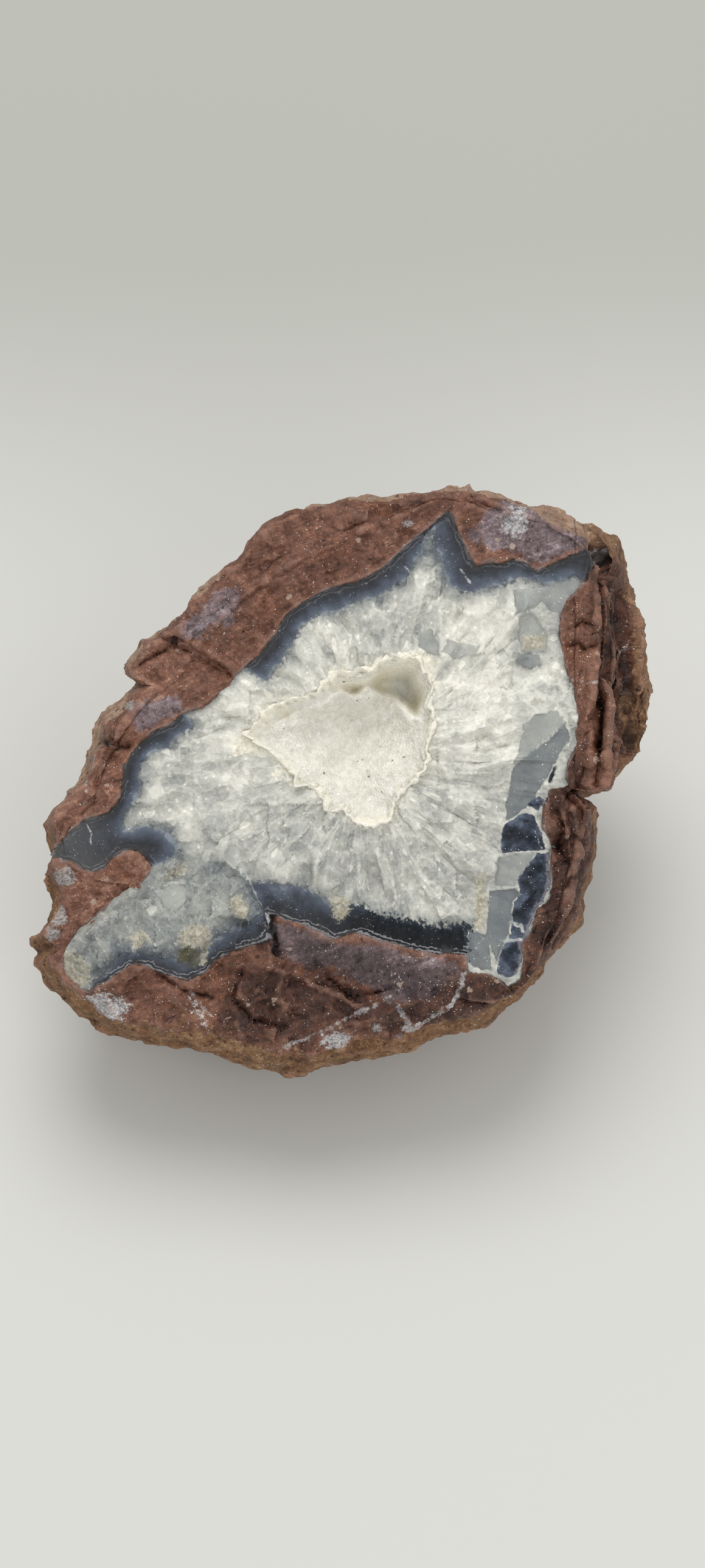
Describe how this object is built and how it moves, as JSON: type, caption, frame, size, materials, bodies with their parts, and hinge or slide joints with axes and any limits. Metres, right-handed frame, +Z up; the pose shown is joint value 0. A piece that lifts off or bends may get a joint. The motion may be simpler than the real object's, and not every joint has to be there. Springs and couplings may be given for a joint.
{
  "type": "agate nodule",
  "caption": "Broken volcanic nodule with an agate band, quartz filling and a crystal-lined hollow, resting on its round back.",
  "frame": {"origin": "on the surface that the nodule rests on, under the middle of its bounding box", "axes": "+Z up, +X to the right along the broken face, -Y the way the broken face leans"},
  "size_m": [0.1054, 0.0898, 0.0778],
  "materials": {
    "nodule_stone": "rough broken rock with smooth agate and glassy quartz",
    "druse_crystal": "sparkling crystal crust"
  },
  "bodies": {
    "root": {"nodule": "nodule_stone", "druse_crust": "druse_crystal"}
  },
  "joints": []
}
